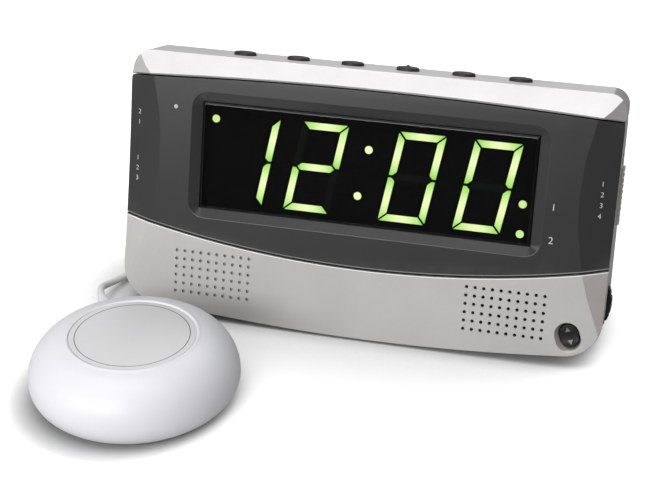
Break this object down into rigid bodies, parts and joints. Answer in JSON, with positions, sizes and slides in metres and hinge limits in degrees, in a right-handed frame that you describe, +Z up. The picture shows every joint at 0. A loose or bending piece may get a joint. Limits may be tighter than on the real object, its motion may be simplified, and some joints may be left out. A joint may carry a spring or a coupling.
{
  "type": "bed shaker alarm clock",
  "caption": "Alarm clock with a leaning front, large lit display, top buttons and side controls, joined by a cord to a round bed shaker puck.",
  "frame": {"origin": "on the table, under the middle of the clock's base", "axes": "+X to the right as seen from the front, +Y to the back, +Z up"},
  "size_m": [0.2226, 0.2566, 0.1085],
  "materials": {
    "bezel_grey": "satin moulded plastic",
    "silver": "silver paint on moulded plastic",
    "housing_grey": "silver-grey moulded plastic",
    "button_grey": "satin",
    "black_plastic": "satin",
    "knob_grey": "satin",
    "window": "smoked window",
    "led_lit": "lit light guide",
    "led_unlit": "unlit light guide",
    "led_block": "black",
    "board_green": "solder mask",
    "ribbon_grey": "flat cable",
    "switch_black": "moulded switch body",
    "steel": "plated",
    "magnet": "ferrite",
    "paper": "pressed paper",
    "battery_can": "printed can, plain",
    "rubber": "matt",
    "white_plastic": "white moulded plastic",
    "label": "satin silver film",
    "brass": "turned",
    "white_cord": "soft white jacket",
    "tie": "band",
    "plug_white": "white moulded plug"
  },
  "bodies": {
    "clock": {"front_bezel": "bezel_grey", "lower_panel": "silver", "top_cap": "silver", "rear_housing": "housing_grey", "rubber_feet": "rubber", "case_screws": "steel", "display_lens": "window", "display_block": "led_block", "lit_segments": "led_lit", "unlit_segments": "led_unlit", "display_board": "board_green", "display_ribbon": "ribbon_grey", "button_board": "board_green", "tact_switches": "switch_black", "rocker_board": "board_green", "slide_switches": "switch_black", "side_boards": "board_green", "volume_pot": "switch_black", "speaker_frame": "steel", "speaker_cone": "paper", "speaker_magnet": "magnet", "main_board": "board_green", "board_parts": "switch_black", "board_screws": "steel", "dc_jack": "switch_black", "shaker_jack": "switch_black", "backup_battery": "battery_can", "battery_snap": "black_plastic", "cord_lead": "white_cord", "cord_coil": "white_cord", "cord_tail": "white_cord", "cord_tie": "tie", "shaker_plug": "plug_white"},
    "button_1": {"button_1": "button_grey"},
    "button_2": {"button_2": "button_grey"},
    "button_3": {"button_3": "button_grey"},
    "button_4": {"button_4": "button_grey"},
    "button_5": {"button_5": "button_grey"},
    "button_6": {"button_6": "button_grey"},
    "rocker": {"rocker_button": "black_plastic"},
    "mode_knob": {"mode_slider": "knob_grey"},
    "dimmer_knob": {"dimmer_slider": "knob_grey"},
    "select_knob": {"select_slider": "knob_grey"},
    "wheel": {"volume_wheel": "black_plastic"},
    "door": {"battery_door": "housing_grey"},
    "shaker": {"shaker_shell": "white_plastic", "shaker_base_plate": "white_plastic", "shaker_label": "label", "shaker_screws": "steel", "motor_can": "steel", "motor_bracket": "white_plastic", "strain_relief": "white_cord"},
    "rotor": {"motor_shaft": "steel", "eccentric_weight": "brass"}
  },
  "joints": [
    {"name": "button_1_press", "type": "slide", "parent": "clock", "child": "button_1", "axis": [0, -0.263, -0.9648], "range_m": [0, 0.0007], "stiffness_N_per_m": 1500},
    {"name": "button_2_press", "type": "slide", "parent": "clock", "child": "button_2", "axis": [0, -0.263, -0.9648], "range_m": [0, 0.0007], "stiffness_N_per_m": 1500},
    {"name": "button_3_press", "type": "slide", "parent": "clock", "child": "button_3", "axis": [0, -0.263, -0.9648], "range_m": [0, 0.0007], "stiffness_N_per_m": 1500},
    {"name": "button_4_press", "type": "slide", "parent": "clock", "child": "button_4", "axis": [0, -0.263, -0.9648], "range_m": [0, 0.0007], "stiffness_N_per_m": 1500},
    {"name": "button_5_press", "type": "slide", "parent": "clock", "child": "button_5", "axis": [0, -0.263, -0.9648], "range_m": [0, 0.0007], "stiffness_N_per_m": 1500},
    {"name": "button_6_press", "type": "slide", "parent": "clock", "child": "button_6", "axis": [0, -0.263, -0.9648], "range_m": [0, 0.0007], "stiffness_N_per_m": 1500},
    {"name": "rocker_tilt", "type": "hinge", "parent": "clock", "child": "rocker", "pos_m": [0.0906, -0.023, 0.01247], "axis": [0.9397, 0.09, 0.33], "range_deg": [-2.5, 2.5], "stiffness_Nm_per_rad": 0.4},
    {"name": "mode_slide", "type": "slide", "parent": "clock", "child": "mode_knob", "axis": [0, 0.263, 0.9648], "range_m": [0, 0.0048]},
    {"name": "dimmer_slide", "type": "slide", "parent": "clock", "child": "dimmer_knob", "axis": [0, 0.263, 0.9648], "range_m": [0, 0.003]},
    {"name": "select_slide", "type": "slide", "parent": "clock", "child": "select_knob", "axis": [0, 0.263, 0.9648], "range_m": [0, 0.004]},
    {"name": "volume_turn", "type": "hinge", "parent": "clock", "child": "wheel", "pos_m": [0.0897, -0.00696, 0.0196], "axis": [0, -0.9648, 0.263], "range_deg": [-150, 150]},
    {"name": "battery_door_slide", "type": "slide", "parent": "clock", "child": "door", "axis": [0, 1, 0], "range_m": [0, 0.036]},
    {"name": "shaker_lift", "type": "slide", "parent": "clock", "child": "shaker", "axis": [0, 0, 1], "range_m": [0, 0.03]},
    {"name": "motor_spin", "type": "hinge", "parent": "shaker", "child": "rotor", "pos_m": [-0.0747, -0.0904, 0.0132], "axis": [1, 0, 0], "continuous": true}
  ]
}
